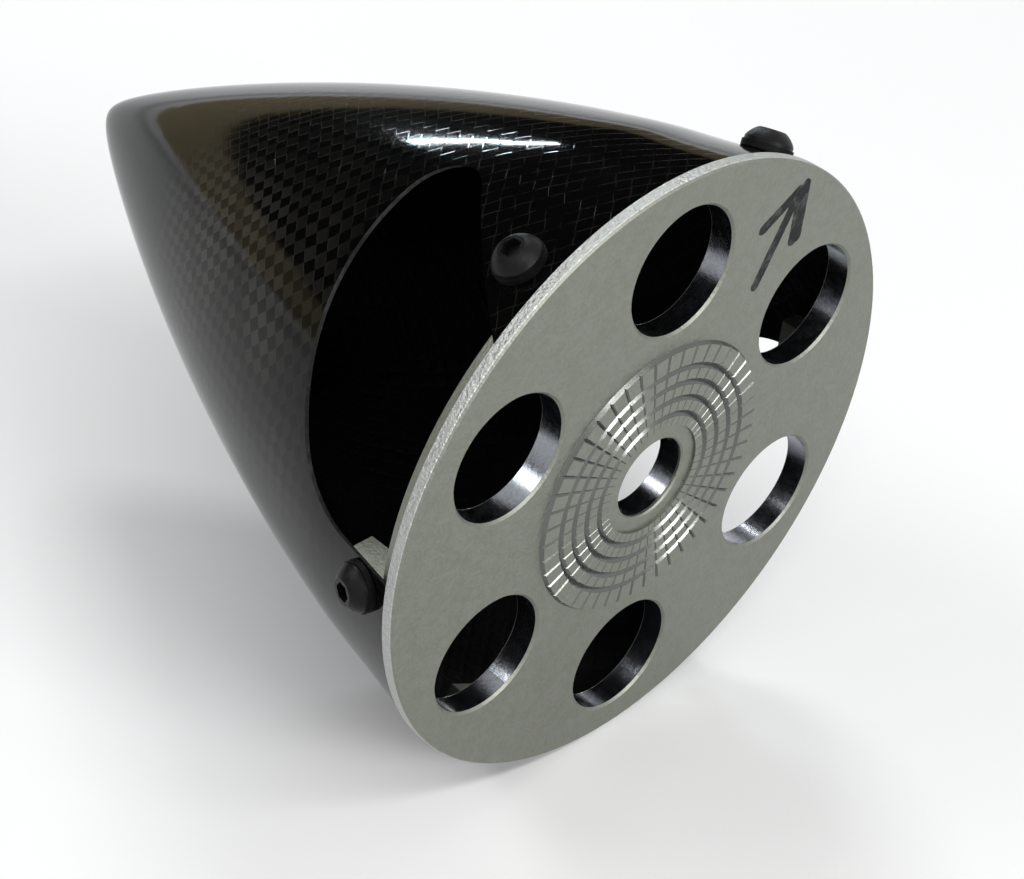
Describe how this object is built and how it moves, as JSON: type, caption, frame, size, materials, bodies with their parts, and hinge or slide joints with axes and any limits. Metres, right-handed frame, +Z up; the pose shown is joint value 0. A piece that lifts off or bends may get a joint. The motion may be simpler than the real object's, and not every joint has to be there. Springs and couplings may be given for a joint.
{
  "type": "propeller spinner",
  "caption": "Hollow ogive propeller spinner: glossy carbon nose cone with blade cut-outs, screwed to a drilled metal backplate with a knurled rear boss.",
  "frame": {"origin": "centre of the shaft bore on the rearmost face, the knurled boss", "axes": "+Y is the spin axis towards the nose, +Z is up and +X is to the right when the backplate is seen from behind"},
  "size_m": [0.0788, 0.0996, 0.076],
  "materials": {
    "carbon": "plain-weave carbon fibre under a clear gloss coat",
    "plate": "machined aluminium with a fine satin bead-blasted face",
    "screw": "black oxide alloy steel",
    "washer": "black nylon"
  },
  "bodies": {
    "root": {"nose_cone": "carbon", "backplate": "plate", "cone_screw_1": "screw", "cone_screw_2": "screw", "cone_screw_3": "screw", "cone_screw_4": "screw", "cone_screw_5": "screw", "cone_screw_6": "screw", "screw_washer_1": "washer", "screw_washer_2": "washer", "screw_washer_3": "washer", "screw_washer_4": "washer", "screw_washer_5": "washer", "screw_washer_6": "washer"}
  },
  "joints": []
}
